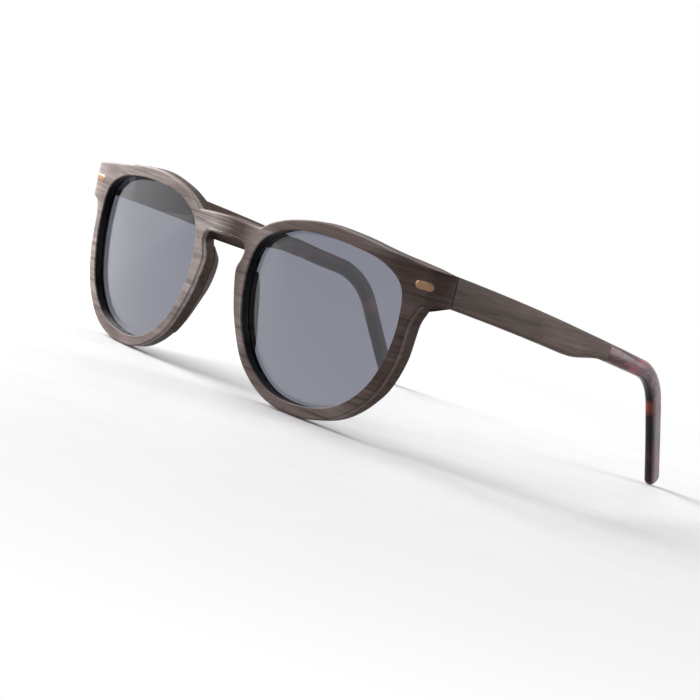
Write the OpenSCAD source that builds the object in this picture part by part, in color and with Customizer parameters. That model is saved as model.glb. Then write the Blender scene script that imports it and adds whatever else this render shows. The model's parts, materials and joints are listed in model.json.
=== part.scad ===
// Wooden keyhole-bridge sunglasses: a bent wooden front, black lens liners, smoked lenses,
// wooden temple arms on five-knuckle hinges and curved ear tips.
// Frame: front faces -Y, temples run to +Y, +X is the wearer's left, Z is up.
// The part stands on the two rims and the two ear tips, all on Z = 0.

/* [Lens opening] */
// Width of one lens opening
lens_w = 50; // [46:0.5:54]
// Height of one lens opening
lens_h = 43; // [39:0.5:46]
// Distance between the two lens openings
bridge_gap = 22; // [19:0.5:25]
// Thickness of a lens
lens_t = 1.4; // [1:0.1:1.6]
// Depth of the lens surface behind the front face
lens_depth = 2.4; // [1.8:0.1:2.5]
// Depth of the lens edge in the groove of the liner
lens_bite = 0.4; // [0.2:0.05:0.5]
// Wall of the black liner around a lens
liner_t = 0.9; // [0.7:0.05:1.1]
// Thickness of the wooden lip in front of the liner
lip_t = 0.4; // [0.3:0.05:0.8]

/* [Wooden front] */
// Radius to which the front is bent around the face
wrap_r = 285; // [240:5:400]
// Thickness of the front
front_t = 4.5; // [4.2:0.1:5.5]
// Width of the rim along the sides and the bottom
rim_w = 3.1; // [2.6:0.1:3.8]
// Width of the rim along the nose
nose_rim_w = 2.7; // [2.3:0.1:3.2]
// Length of an end piece past the lens opening
end_reach = 11.5; // [11:0.25:14]
// Height of an end piece, the same as the front of a temple arm
end_h = 8.1; // [7.6:0.1:9]
// Distance of the end piece's top edge below the top of the lens opening
end_below = 0.7; // [0:0.1:2]
// Rounding of the end piece into the side
end_round = 8; // [5:0.5:9]

/* [Bridge and nose] */
// Height of the bridge's top edge above the middle of the lenses
bridge_top = 18.9; // [18:0.1:20.5]
// Height of the keyhole's top at the front face
keyhole_top = 14.4; // [13:0.1:15.5]
// Height of the keyhole's top at the back face
keyhole_back = 11.2; // [10.5:0.1:12.5]
// Half width of the keyhole
keyhole_half = 8.5; // [7.5:0.1:9]
// Half of the narrowest gap between the nose pads
nose_half = 6.8; // [6:0.1:7.6]
// Height of the narrowest gap above the middle of the lenses
nose_z = 6.5; // [5:0.25:8]
// Height of a nose pad behind the front
pad_h = 3.6; // [2.5:0.1:4.5]
// Width of a nose pad
pad_w = 2.7; // [2.2:0.1:3]
// Flare of a nose pad away from the nose
pad_flare = 28; // [10:1:35]

/* [Temples] */
// Length of the wooden arm
arm_len = 71; // [60:0.5:85]
// Thickness of the wooden arm
arm_t = 4.2; // [3.6:0.1:4.8]
// Height of the arm where it meets the tip
arm_h_back = 5.2; // [4.6:0.1:6]
// Length of the arm before it starts to taper
arm_even = 52; // [35:1:56]
// Rise of the arm's top edge above a straight line
arm_crown = 0.45; // [0:0.05:1]
// Step from the end of the end piece in to the arm's outer side
arm_inset = 0.75; // [0.6:0.05:1]
// Slope of the arm below the front's normal, in degrees
arm_drop = 10.2; // [6:0.1:13]
// Turn of the arm towards the head, in degrees
arm_inward = 4; // [2:0.25:6]
// Slope of the tip's straight start, in degrees
tip_drop = 11; // [8:0.5:15]
// Length of the tip's straight start
tip_straight = 22; // [14:0.2:24]
// Radius of the bend over the ear
ear_r = 21; // [16:0.5:32]
// Angle of the bend over the ear
ear_angle = 49; // [35:1:55]
// Length of the tip behind the ear
ear_len = 29; // [20:0.5:34]
// Height of the tip behind the ear
tip_h = 4.8; // [4.5:0.1:7]
// Thickness of the tip at its end
tip_t = 3.4; // [3:0.1:4]
// Radius of the tip's curve towards the head
tip_curve_r = 250; // [200:10:500]
// Diameter of the wire core between arm and tip
core_d = 1.6; // [1.2:0.1:1.8]
// Length of the wire core on each side of the joint
core_half = 13; // [8:0.5:14]

/* [Hinges and rivets] */
// Diameter of a hinge knuckle
knuckle_d = 2.5; // [2.2:0.1:2.8]
// Height of a hinge knuckle
knuckle_h = 1; // [0.8:0.05:1.1]
// Gap between knuckles
knuckle_gap = 0.08; // [0.05:0.01:0.12]
// Diameter of the hinge pin
pin_d = 1.2; // [1:0.05:1.4]
// Radial clearance of the pin in the moving knuckles
pin_play = 0.05; // [0.03:0.01:0.08]
// Thickness of a hinge leaf
leaf_t = 0.8; // [0.6:0.05:0.9]
// Height of the leaf on the arm
arm_leaf_h = 4.8; // [4.4:0.1:5.2]
// Length of the leaf on the front
front_leaf_len = 5.4; // [5:0.1:5.6]
// Depth of the front leaf below the back of the end piece
leaf_sink = 0.5; // [0.3:0.05:0.6]
// Length of the leaf on the arm
arm_leaf_len = 8.5; // [7:0.5:12]
// Distance between two leaf screws
screw_pitch = 2.6; // [2.2:0.1:3]
// Diameter of a leaf screw
screw_d = 1; // [0.8:0.05:1.2]
// Length of a leaf screw
screw_len = 2; // [1.4:0.1:2.2]
// Length of the brass rivet seen on the front
rivet_len = 5; // [4:0.1:5.4]
// Height of the brass rivet seen on the front
rivet_h = 2.1; // [1.8:0.1:3]
// Depth of the rivet in the wood
rivet_depth = 1.5; // [1:0.1:1.6]
// Height of the rivet above the wood
rivet_proud = 0.15; // [0.05:0.05:0.3]
// Distance of the rivet from the end of the end piece
rivet_in = 6.6; // [6.3:0.1:7.3]

/* [Fits] */
// Gap between the open arm and the end piece
seam_gap = 0.12; // [0.08:0.02:0.3]
// Glue or seat gap between fixed pieces
seat_gap = 0.02; // [0.01:0.01:0.04]
// Gap between a knuckle and the leaf or wood beside it
knuckle_clear = 0.4; // [0.3:0.05:0.6]

/* [Hidden] */

LEFT = 1;
RIGHT = -1;
// Straight pieces per stretch of a curve
curve_steps = 5;
// Sides of the large circles of the bent front, and of small round pieces
wrap_fn = 720;
round_fn = 48;
// Reach of cutting shapes past what they cut
past = 1;

// Lens opening as shares of its half width and half height, clockwise from the nose
opening_shape = [
    [-1, 0.3], [-0.9, 0.7], [-0.58, 0.93], [-0.16, 1], [0.28, 0.985],
    [0.7, 0.895], [0.94, 0.7], [1, 0.325], [0.95, -0.14], [0.8, -0.55],
    [0.5, -0.87], [0.08, -1], [-0.34, -0.96], [-0.7, -0.69], [-0.92, -0.28]
];

// Point of a smooth curve between p1 and p2, with knots set by the root of the distances
function knot(a, b) = sqrt(norm(b - a));
function mix(a, b, from, to, u) = a * (to - u) / (to - from) + b * (u - from) / (to - from);
function curve_point(p0, p1, p2, p3, share) =
    let (k1 = knot(p0, p1), k2 = k1 + knot(p1, p2), k3 = k2 + knot(p2, p3))
    let (u = k1 + share * (k2 - k1))
    let (a1 = mix(p0, p1, 0, k1, u), a2 = mix(p1, p2, k1, k2, u), a3 = mix(p2, p3, k2, k3, u))
    let (b1 = mix(a1, a2, 0, k2, u), b2 = mix(a2, a3, k1, k3, u))
    mix(b1, b2, k1, k2, u);
function closed_curve(p) =
    let (n = len(p))
    [for (i = [0:n - 1], k = [0:curve_steps - 1])
        curve_point(p[(i + n - 1) % n], p[i], p[(i + 1) % n], p[(i + 2) % n], k / curve_steps)];
function open_curve(p) =
    let (m = len(p) - 1)
    let (full = concat([2 * p[0] - p[1]], p, [2 * p[m] - p[m - 1]]))
    concat([for (i = [0:m - 1], k = [0:curve_steps - 1])
        curve_point(full[i], full[i + 1], full[i + 2], full[i + 3], k / curve_steps)], [p[m]]);

// Outward direction at point i of a closed clockwise outline, and the outline grown by d
function outward(p, i) =
    let (n = len(p), along = p[(i + 1) % n] - p[(i + n - 1) % n])
    [-along[1], along[0]] / norm(along);
function grow(p, d) = [for (i = [0:len(p) - 1]) p[i] + d * outward(p, i)];
function smooth(u) = let (v = min(max(u, 0), 1)) v * v * (3 - 2 * v);
function reverse(p) = [for (i = [len(p) - 1:-1:0]) p[i]];

lens_x = bridge_gap / 2 + lens_w / 2;
end_x = lens_x + lens_w / 2 + end_reach;
end_top = lens_h / 2 - end_below;
end_bottom = end_top - end_h;
opening_points = [for (p = opening_shape) [lens_x + p[0] * lens_w / 2, p[1] * lens_h / 2]];
opening = closed_curve(opening_points);

// Outer edge of the front: points on the rim stand off from the points of the lens opening
function rim_point(i, width) = opening_points[i] + width * outward(opening_points, i);
notch = [bridge_gap / 2 + 0.4 * rim_w, 0.97 * bridge_top];
brow_points = [
    notch, notch + [rim_w, 0.65 * rim_w], rim_point(2, 0.84 * rim_w), rim_point(3, rim_w),
    rim_point(4, rim_w), rim_point(5, 1.2 * rim_w), [end_x, end_top]
];
rim_side = rim_point(7, rim_w);
end_points = [
    [end_x, end_bottom], [end_x - 0.5 * end_h, end_bottom - 0.04 * end_h],
    [rim_side[0] + 0.65 * rim_w, end_bottom - 0.15 * end_h],
    [rim_side[0] + 0.3 * rim_w, end_bottom - 0.4 * end_h], rim_side
];
nose_points = [
    [0.94 * keyhole_half, 0.84 * keyhole_back], [nose_half, nose_z], [1.15 * nose_half, 0.12 * nose_z],
    rim_point(14, nose_rim_w), rim_point(13, nose_rim_w), rim_point(12, nose_rim_w)
];
keyhole_points = [
    [keyhole_half, 1.07 * keyhole_back], [0.76 * keyhole_half, 0.98 * keyhole_top], [0, keyhole_top]
];
rim_points = [for (i = [8:11]) rim_point(i, rim_w)];
cheek_points = concat(end_points, rim_points, reverse(nose_points), keyhole_points);
half_outline = concat([[0, bridge_top]], open_curve(brow_points), open_curve(cheek_points));
front_outline = concat(half_outline,
    [for (i = [len(half_outline) - 2:-1:1]) [-half_outline[i][0], half_outline[i][1]]]);

// Distance of the bent front's surface behind its middle, at x and at a depth below the surface
function wrap_y(x, depth = 0) = wrap_r - sqrt(pow(wrap_r - depth, 2) - x * x);

// Hinge: the pin stands behind the flat back of the end piece and inside the arm
knuckle_r = knuckle_d / 2;
pin_r = pin_d / 2;
arm_side = knuckle_r + knuckle_clear;
pin_x = end_x - arm_inset - arm_t - arm_side;
seam_y = wrap_y(pin_x, front_t);
pin_y = seam_y + knuckle_r + knuckle_clear / 2;
hinge_z = end_bottom + end_h / 2;
knuckle_step = knuckle_h + knuckle_gap;
hinge_stack = 5 * knuckle_h + 4 * knuckle_gap;
stack_bottom = hinge_z - hinge_stack / 2;
leaf_back = seam_y - leaf_sink;
front_leaf_x = pin_x + knuckle_r - front_leaf_len;
front_leaf_h = hinge_stack + knuckle_clear;
front_screw_x = front_leaf_x + 1.5 * screw_d;
arm_leaf_y = -knuckle_r / 2;
arm_leaf_z = hinge_z - arm_leaf_len / 2 * tan(arm_drop);
arm_screw_y = arm_leaf_y + 0.6 * arm_leaf_len;
screw_head_d = 1.7 * screw_d;
rivet_x = end_x - rivet_in;
rivet_z = hinge_z;

// Temple arm edges at distance s behind the pin, in the arm's own plane
function arm_top(s) = end_top - (s + pin_y - seam_y) * tan(arm_drop)
    + 4 * arm_crown * s / arm_len * (1 - s / arm_len);
function arm_h(s) = end_h + (arm_h_back - end_h) * smooth((s - arm_even) / (arm_len - arm_even));
arm_stations = 24;
arm_ahead = knuckle_d;

// Ear tip: a straight start, a bend over the ear and a straight end
ear_arc = ear_r * ear_angle * PI / 180;
tip_len = tip_straight + ear_arc + ear_len;
tip_low = tip_drop + ear_angle;
tip_start_z = arm_top(arm_len) - arm_h_back / 2;
function tip_angle(l) = tip_drop + ear_angle * min(max((l - tip_straight) / ear_arc, 0), 1);
function tip_s(l) = min(l, tip_straight) * cos(tip_drop)
    + ear_r * (sin(tip_angle(l)) - sin(tip_drop)) + max(l - tip_straight - ear_arc, 0) * cos(tip_low);
function tip_z(l) = -min(l, tip_straight) * sin(tip_drop)
    - ear_r * (cos(tip_drop) - cos(tip_angle(l))) - max(l - tip_straight - ear_arc, 0) * sin(tip_low);
tip_round = tip_h / 2;
function tip_end(l) = sqrt(max(1 - pow(max(l - tip_len + tip_round, 0) / tip_round, 2), 0.003));
function tip_height(l) =
    (arm_h_back + (tip_h - arm_h_back) * smooth(l / (tip_len - ear_len / 2))) * tip_end(l);
function tip_thick(l) = (arm_t + (tip_t - arm_t) * smooth(l / tip_len)) * tip_end(l);
tip_sides = 20;
tip_squareness = 2.6;
tip_blend = 1.5 * arm_h_back;
tip_stations = concat([for (i = [0:17]) i / 17 * (tip_len - tip_round)],
    [for (a = [18:18:90]) tip_len - tip_round + tip_round * sin(a)]);
function bulge(v) = sign(v) * pow(abs(v), 2 / tip_squareness);
function tip_ring(l) =
    let (tilt = tip_angle(l) * smooth(l / tip_blend))
    let (x = arm_side + arm_t / 2 - pow(tip_s(l), 2) / (2 * tip_curve_r))
    [for (k = [0:tip_sides - 1])
        let (a = 360 * k / tip_sides)
        let (up = bulge(cos(a)) * tip_height(l) / 2)
        [x + bulge(sin(a)) * tip_thick(l) / 2,
         arm_len + tip_s(l) + up * sin(tilt),
         tip_start_z + tip_z(l) + up * cos(tilt)]];
tip_rings = [for (l = tip_stations) tip_ring(l)];

// Rest: the whole part is tilted so that the rims and the ear tips stand on Z = 0
function on_head(p) = [pin_x + p[0] * cos(arm_inward) - p[1] * sin(arm_inward),
    pin_y + p[0] * sin(arm_inward) + p[1] * cos(arm_inward), p[2]];
tip_cloud = [for (ring = tip_rings) for (p = ring) on_head(p)];
tip_bottom_z = min([for (p = tip_cloud) p[2]]);
tip_bottom_y = max([for (p = tip_cloud) p[2] < tip_bottom_z + 0.5 ? p[1] : 0]);
rim_bottom = rim_point(11, rim_w);
rest_tilt = atan((rim_bottom[1] - tip_bottom_z) / (tip_bottom_y - wrap_y(rim_bottom[0])));
function rest_y(p) = p[1] * cos(rest_tilt) - p[2] * sin(rest_tilt);
function rest_z(p) = p[1] * sin(rest_tilt) + p[2] * cos(rest_tilt);
front_cloud = [for (p = half_outline) [p[0], wrap_y(p[0]), p[1]]];
rest_lift = -min([for (p = concat(front_cloud, tip_cloud)) rest_z(p)]);
rest_front = min([for (p = front_cloud) rest_y(p)]);
rest_back = max([for (p = tip_cloud) rest_y(p)]);

// Stands a piece on its rest position
module at_rest() {
    translate([0, -(rest_front + rest_back) / 2, rest_lift]) rotate([rest_tilt, 0, 0]) children();
}

// Puts a left-hand piece on the given side
module on_side(side) {
    if (side == LEFT) children();
    else mirror([1, 0, 0]) children();
}

// Carries a piece drawn in the arm's own frame, with the hinge pin on its Z axis
module on_arm() {
    translate([pin_x, pin_y, 0]) rotate([0, 0, arm_inward]) children();
}

// Outline in the X-Z plane drawn out from y1 to y2
module drawn_back(y1, y2) {
    translate([0, y2, 0]) rotate([90, 0, 0]) linear_extrude(height = y2 - y1) children();
}

// Layer of the bent front between two depths below its front face
module bent_layer(depth1, depth2) {
    reach = 2 * (lens_h + end_h);
    translate([0, wrap_r, -reach / 2]) difference() {
        cylinder(r = wrap_r - depth1, h = reach, $fn = wrap_fn);
        translate([0, 0, -past]) cylinder(r = wrap_r - depth2, h = reach + 2 * past, $fn = wrap_fn);
    }
}

// Lens-shaped piece between two depths, its edge moved out from the opening
module lens_slice(edge, depth1, depth2) {
    intersection() {
        drawn_back(-2 * past, seam_y + 2 * past) polygon(grow(opening, edge));
        bent_layer(depth1, depth2);
    }
}

// Plan of the front seen from above: bent strip, rounded ends, flat backs for the hinges
module front_plan() {
    round_x = end_x - end_round;
    meet_x = round_x * wrap_r / (wrap_r - end_round);
    difference() {
        intersection() {
            union() {
                intersection() {
                    translate([0, wrap_r]) circle(r = wrap_r, $fn = wrap_fn);
                    translate([-meet_x, -past]) square([2 * meet_x, seam_y + past]);
                }
                for (side = [LEFT, RIGHT])
                    translate([side * round_x, wrap_y(round_x, end_round)]) circle(r = end_round, $fn = 96);
            }
            translate([-end_x - past, -past]) square([2 * (end_x + past), seam_y + past]);
        }
        translate([0, wrap_r]) circle(r = wrap_r - front_t, $fn = wrap_fn);
    }
}

// Lip that slopes from the keyhole's top on the front face down to its top on the back face
module keyhole_lip() {
    reach = 2 * (keyhole_half + past);
    translate([-reach / 2, 0, 0]) rotate([90, 0, 90]) linear_extrude(height = reach)
        polygon([[0, keyhole_top], [front_t, keyhole_back],
                 [front_t, keyhole_top + past], [0, keyhole_top + past]]);
}

// Long round-ended peg, standing along -Y with its middle at the origin
module rivet_peg(extra, deep, high) {
    half = (rivet_len - rivet_h) / 2;
    drawn_back(-high, deep) {
        for (side = [LEFT, RIGHT])
            translate([side * half, 0]) circle(r = rivet_h / 2 + extra, $fn = round_fn);
        square([2 * half, rivet_h + 2 * extra], center = true);
    }
}

// Puts a peg on the front face at the rivet's place, along the face's normal
module at_rivet() {
    translate([rivet_x, wrap_y(rivet_x), rivet_z]) rotate([0, 0, asin(rivet_x / wrap_r)]) children();
}

// Small countersunk screw along +Y, its flat head at y = 0
module leaf_screw(extra = 0) {
    head_h = leaf_t / 2;
    rotate([-90, 0, 0]) {
        cylinder(d1 = screw_head_d + 2 * extra, d2 = screw_d + 2 * extra, h = head_h, $fn = round_fn);
        cylinder(d = screw_d + 2 * extra, h = screw_len + extra, $fn = round_fn);
    }
}

// The two screws of the front leaf and of the arm leaf
module front_screws(extra = 0) {
    for (k = [-0.5, 0.5])
        translate([front_screw_x, leaf_back, hinge_z + k * screw_pitch])
            mirror([0, 1, 0]) leaf_screw(extra);
}
module arm_screws(extra = 0) {
    for (k = [-0.5, 0.5])
        translate([arm_side, arm_screw_y + k * screw_pitch, arm_leaf_z])
            rotate([0, 0, -90]) leaf_screw(extra);
}

// Plates of the hinge leaves, grown for the pocket that takes them
module front_leaf(extra = 0, deep = 0) {
    translate([front_leaf_x - extra, leaf_back - leaf_t - extra, hinge_z - front_leaf_h / 2 - extra])
        cube([front_leaf_len + 2 * extra, leaf_t + extra + deep, front_leaf_h + 2 * extra]);
}
module arm_leaf(extra = 0, deep = 0) {
    translate([arm_side - deep, arm_leaf_y - extra, arm_leaf_z - arm_leaf_h / 2 - extra])
        cube([leaf_t + extra + deep, arm_leaf_len + 2 * extra, arm_leaf_h + 2 * extra]);
}

// Knuckle number i of the stack, with the web that joins it to its leaf
module knuckle(i) {
    translate([0, 0, stack_bottom + i * knuckle_step]) {
        cylinder(r = knuckle_r, h = knuckle_h, $fn = round_fn);
        children();
    }
}
module pin_bore(play) {
    translate([0, 0, stack_bottom - past])
        cylinder(r = pin_r + play, h = hinge_stack + 2 * past, $fn = round_fn);
}

module front_frame() {
    reach = 2 * (lens_h + end_h);
    color("#7d6a61") at_rest() difference() {
        intersection() {
            union() {
                drawn_back(-past, seam_y + past) polygon(front_outline);
                keyhole_lip();
            }
            translate([0, 0, -reach / 2]) linear_extrude(height = reach) front_plan();
        }
        for (side = [LEFT, RIGHT]) on_side(side) {
            drawn_back(-2 * past, seam_y + 2 * past) polygon(opening);
            lens_slice(liner_t + seat_gap, lip_t - seat_gap, front_t + past);
            at_rivet() rivet_peg(seat_gap, rivet_depth + seat_gap, 2 * past);
            front_leaf(seat_gap, past + seam_y);
            front_screws(seat_gap);
        }
    }
}

module rim_liner(side) {
    color("#141414") at_rest() on_side(side) difference() {
        lens_slice(liner_t, lip_t, front_t);
        drawn_back(-2 * past, seam_y + 2 * past) polygon(opening);
        lens_slice(lens_bite + seat_gap, lens_depth - seat_gap, lens_depth + lens_t + seat_gap);
    }
}

module lens(side) {
    color("#4a4d55", 0.6) at_rest() on_side(side) lens_slice(lens_bite, lens_depth, lens_depth + lens_t);
}

// Height of the pad along its length, from the keyhole to the bottom of the rim
pad_rise = [0.08, 0.45, 0.8, 0.97, 1, 0.85, 0.5, 0.08];
pad_spans = len(pad_rise) - 1;
function pad_share(u) =
    let (k = min(floor(u * pad_spans), pad_spans - 1))
    pad_rise[k] + (pad_rise[k + 1] - pad_rise[k]) * (u * pad_spans - k);
pad_edge = open_curve(nose_points);
pad_count = len(pad_edge) - curve_steps;
function pad_ring(i) =
    let (along = pad_edge[i + 1] - pad_edge[max(i - 1, 0)])
    let (away = [-along[1], along[0]] / norm(along))
    let (rise = pad_h * pad_share(i / (pad_count - 1)), flare = min(rise * tan(pad_flare), 0.6 * pad_w))
    let (soft = 0.12 * pad_w)
    [for (q = [[0, 0], [0.7 * flare, 0.7], [flare + soft, 1],
               [pad_w - soft, 0.95], [pad_w, 0.5], [pad_w, 0]])
        let (p = pad_edge[i] + q[0] * away)
        [p[0], wrap_y(p[0], front_t + seat_gap + q[1] * rise), p[1]]];

module nose_pad(side) {
    n = 6;
    rings = [for (i = [0:pad_count - 1]) pad_ring(i)];
    points = [for (ring = rings) for (p = ring) p];
    last = (pad_count - 1) * n;
    walls = [for (i = [0:pad_count - 2], k = [0:n - 1], half = [0, 1])
        let (a = i * n + k, b = i * n + (k + 1) % n)
        half == 0 ? [a, a + n, b] : [b, a + n, b + n]];
    ends = concat([for (k = [1:n - 2]) [0, k, k + 1]], [for (k = [1:n - 2]) [last, last + k + 1, last + k]]);
    color("#5b473d") at_rest() on_side(side) polyhedron(points, concat(walls, ends), convexity = 4);
}

module rivet(side) {
    color("#c9a468") at_rest() on_side(side) at_rivet() rivet_peg(0, rivet_depth, rivet_proud);
}

module front_hinge(side) {
    color("#b8b8b4") at_rest() on_side(side) difference() {
        union() {
            front_leaf();
            translate([pin_x, pin_y, 0]) for (i = [0, 2, 4]) knuckle(i)
                translate([-knuckle_r, leaf_back - pin_y - leaf_t / 2, 0])
                    cube([1.5 * knuckle_r, pin_y - leaf_back + leaf_t / 2, knuckle_h]);
        }
        translate([pin_x, pin_y, 0]) pin_bore(seat_gap);
        front_screws(seat_gap);
    }
}

module front_hinge_screws(side) {
    color("#a9a9a5") at_rest() on_side(side) front_screws();
}

module hinge_pin(side) {
    head_h = pin_r;
    slot = 0.3 * pin_d;
    top = stack_bottom + hinge_stack + seat_gap;
    color("#a9a9a5") at_rest() on_side(side) translate([pin_x, pin_y, 0]) difference() {
        union() {
            translate([0, 0, stack_bottom - slot])
                cylinder(r = pin_r, h = top - stack_bottom + slot, $fn = round_fn);
            translate([0, 0, top]) cylinder(r = 0.92 * knuckle_r, h = head_h, $fn = round_fn);
        }
        translate([-knuckle_r, -slot / 2, top + head_h / 2]) cube([knuckle_d, slot, head_h]);
    }
}

// Wire core along the slope of the tip's start, centred on the joint of arm and tip
module core_rod(extra = 0) {
    translate([arm_side + arm_t / 2, arm_len, tip_start_z]) rotate([-90 - tip_drop, 0, 0])
        translate([0, 0, -core_half - extra])
            cylinder(d = core_d + 2 * extra, h = 2 * (core_half + extra), $fn = round_fn);
}

module temple_arm(side) {
    stations = [for (i = [0:arm_stations]) -arm_ahead + i / arm_stations * (arm_len + arm_ahead)];
    profile = concat([for (s = stations) [s, arm_top(s)]],
        [for (s = reverse(stations)) [s, arm_top(s) - arm_h(s)]]);
    room = arm_len + 2 * past;
    color("#5e5650") at_rest() on_side(side) difference() {
        intersection() {
            on_arm() translate([arm_side, 0, 0]) rotate([90, 0, 90])
                linear_extrude(height = arm_t) polygon(profile);
            translate([0, seam_y + seam_gap, -room]) cube([end_x + room, room, 2 * room]);
        }
        on_arm() arm_leaf(seat_gap, past);
        on_arm() arm_screws(seat_gap);
        on_arm() core_rod(seat_gap);
    }
}

module temple_core(side) {
    color("#9a9a98") at_rest() on_side(side) on_arm() core_rod();
}

module temple_tip(side) {
    n = tip_sides;
    count = len(tip_rings);
    last = (count - 1) * n;
    points = [for (ring = tip_rings) for (p = ring) p + [0, seat_gap, 0]];
    walls = [for (i = [0:count - 2], k = [0:n - 1], half = [0, 1])
        let (a = i * n + k, b = i * n + (k + 1) % n)
        half == 0 ? [a, b, a + n] : [b, b + n, a + n]];
    ends = concat([for (k = [1:n - 2]) [0, k + 1, k]], [for (k = [1:n - 2]) [last, last + k, last + k + 1]]);
    color("#3a2118") at_rest() on_side(side) on_arm() difference() {
        polyhedron(points, concat(walls, ends), convexity = 6);
        core_rod(seat_gap);
    }
}

module temple_hinge(side) {
    color("#b8b8b4") at_rest() on_side(side) on_arm() difference() {
        union() {
            arm_leaf();
            for (i = [1, 3]) knuckle(i)
                translate([0, -knuckle_r / 2, 0]) cube([arm_side + leaf_t / 2, 1.5 * knuckle_r, knuckle_h]);
        }
        pin_bore(pin_play);
        arm_screws(seat_gap);
    }
}

module temple_hinge_screws(side) {
    color("#a9a9a5") at_rest() on_side(side) on_arm() arm_screws();
}

front_frame();
rim_liner(LEFT);  // rim_liner_left
rim_liner(RIGHT);  // rim_liner_right
lens(LEFT);  // lens_left
lens(RIGHT);  // lens_right
nose_pad(LEFT);  // nose_pad_left
nose_pad(RIGHT);  // nose_pad_right
rivet(LEFT);  // rivet_left
rivet(RIGHT);  // rivet_right
front_hinge(LEFT);  // front_hinge_left
front_hinge(RIGHT);  // front_hinge_right
front_hinge_screws(LEFT);  // front_hinge_screws_left
front_hinge_screws(RIGHT);  // front_hinge_screws_right
hinge_pin(LEFT);  // hinge_pin_left
hinge_pin(RIGHT);  // hinge_pin_right
temple_arm(LEFT);  // temple_arm_left
temple_arm(RIGHT);  // temple_arm_right
temple_core(LEFT);  // temple_core_left
temple_core(RIGHT);  // temple_core_right
temple_tip(LEFT);  // temple_tip_left
temple_tip(RIGHT);  // temple_tip_right
temple_hinge(LEFT);  // temple_hinge_left
temple_hinge(RIGHT);  // temple_hinge_right
temple_hinge_screws(LEFT);  // temple_hinge_screws_left
temple_hinge_screws(RIGHT);  // temple_hinge_screws_right
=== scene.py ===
"""Wooden keyhole sunglasses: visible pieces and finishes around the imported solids.

Shapes are worked out in millimetres in the front's own frame: x across, y back, z up from the
middle of the lenses. at_rest() stands them on the floor in metres.
"""
import json
from math import cos, pi, radians, sin, tan

import bmesh
import bpy
import numpy as np
from mathutils import Matrix, Vector


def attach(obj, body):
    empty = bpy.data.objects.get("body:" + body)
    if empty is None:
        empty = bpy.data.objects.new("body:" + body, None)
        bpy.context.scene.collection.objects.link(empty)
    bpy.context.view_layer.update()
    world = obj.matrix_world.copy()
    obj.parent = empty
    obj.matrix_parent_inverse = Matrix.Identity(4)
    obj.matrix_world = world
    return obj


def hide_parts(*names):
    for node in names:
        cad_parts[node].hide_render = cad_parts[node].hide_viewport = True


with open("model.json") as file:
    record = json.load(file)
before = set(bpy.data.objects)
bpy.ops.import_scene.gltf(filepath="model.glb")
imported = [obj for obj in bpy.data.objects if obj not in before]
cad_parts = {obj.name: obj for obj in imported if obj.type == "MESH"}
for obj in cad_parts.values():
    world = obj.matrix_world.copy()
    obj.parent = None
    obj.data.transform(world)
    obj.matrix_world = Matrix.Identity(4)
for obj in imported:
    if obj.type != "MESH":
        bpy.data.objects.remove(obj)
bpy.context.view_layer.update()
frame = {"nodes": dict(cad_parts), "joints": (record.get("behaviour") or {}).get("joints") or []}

# Sizes in millimetres and degrees, the same as the solids'
LENS_W, LENS_H, BRIDGE_GAP = 50.0, 43.0, 22.0
LENS_T, LENS_DEPTH, LENS_BITE, LINER_T, LIP_T = 1.4, 2.4, 0.4, 0.9, 0.4
WRAP_R, FRONT_T, RIM_W, NOSE_RIM_W = 285.0, 4.5, 3.1, 2.7
END_REACH, END_H, END_BELOW, END_ROUND = 11.5, 8.1, 0.7, 8.0
BRIDGE_TOP, KEYHOLE_TOP, KEYHOLE_BACK, KEYHOLE_HALF = 18.9, 14.4, 11.2, 8.5
NOSE_HALF, NOSE_Z, PAD_H, PAD_W, PAD_FLARE = 6.8, 6.5, 3.6, 2.7, 28.0
ARM_LEN, ARM_T, ARM_H_BACK, ARM_EVEN, ARM_CROWN = 71.0, 4.2, 5.2, 52.0, 0.45
ARM_INSET, ARM_DROP, ARM_INWARD = 0.75, 10.2, 4.0
TIP_DROP, TIP_STRAIGHT, EAR_R, EAR_ANGLE, EAR_LEN = 11.0, 22.0, 21.0, 49.0, 29.0
TIP_H, TIP_T, TIP_CURVE_R = 4.8, 3.4, 250.0
KNUCKLE_D, KNUCKLE_H, KNUCKLE_GAP, KNUCKLE_CLEAR = 2.5, 1.0, 0.08, 0.4
PIN_D, LEAF_T, LEAF_SINK = 1.2, 0.8, 0.5
ARM_LEAF_H, ARM_LEAF_LEN, FRONT_LEAF_LEN = 4.8, 8.5, 5.4
SCREW_D, SCREW_PITCH, SEAM_GAP = 1.0, 2.6, 0.12
RIVET_LEN, RIVET_H, RIVET_PROUD, RIVET_IN = 5.0, 2.1, 0.15, 6.6

# Sizes of the looks alone: gap between touching faces, dome of a lens, height of hinge leaves over the wood
HAIR, LENS_DOME, LEAF_PROUD = 0.01, 1.8, 0.05
# Radii of the front's softened edges: outer, at the lens, back, at the seam, top of the keyhole
SOFT_OUT, SOFT_IN, SOFT_BACK, SOFT_SEAM, SOFT_KEYHOLE = 0.45, 0.22, 0.6, 0.06, 0.25
# Where the keyhole's own radius holds (x below, z above and below), and the x from which the seam's does
CRISP_X, CRISP_LOW, CRISP_HIGH, SEAM_FROM = 10.0, 9.5, 17.0, 57.0
# Radii of the arm's edges at the hinge and at the tip
ARM_SOFT, ARM_SOFT_BACK = 0.7, 1.3
# Depths of the nose pad's foot and of the rivet in the wood
PAD_SINK, RIVET_SINK = 0.25, 0.5
# Fade of the front's painted edge highlights, outer and at the lens; shift of the figure for right-hand
# pieces
HIGHLIGHT_FADE_OUT, HIGHLIGHT_FADE_IN, FIGURE_SHIFT = 0.4, 0.2, 137.0
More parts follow.
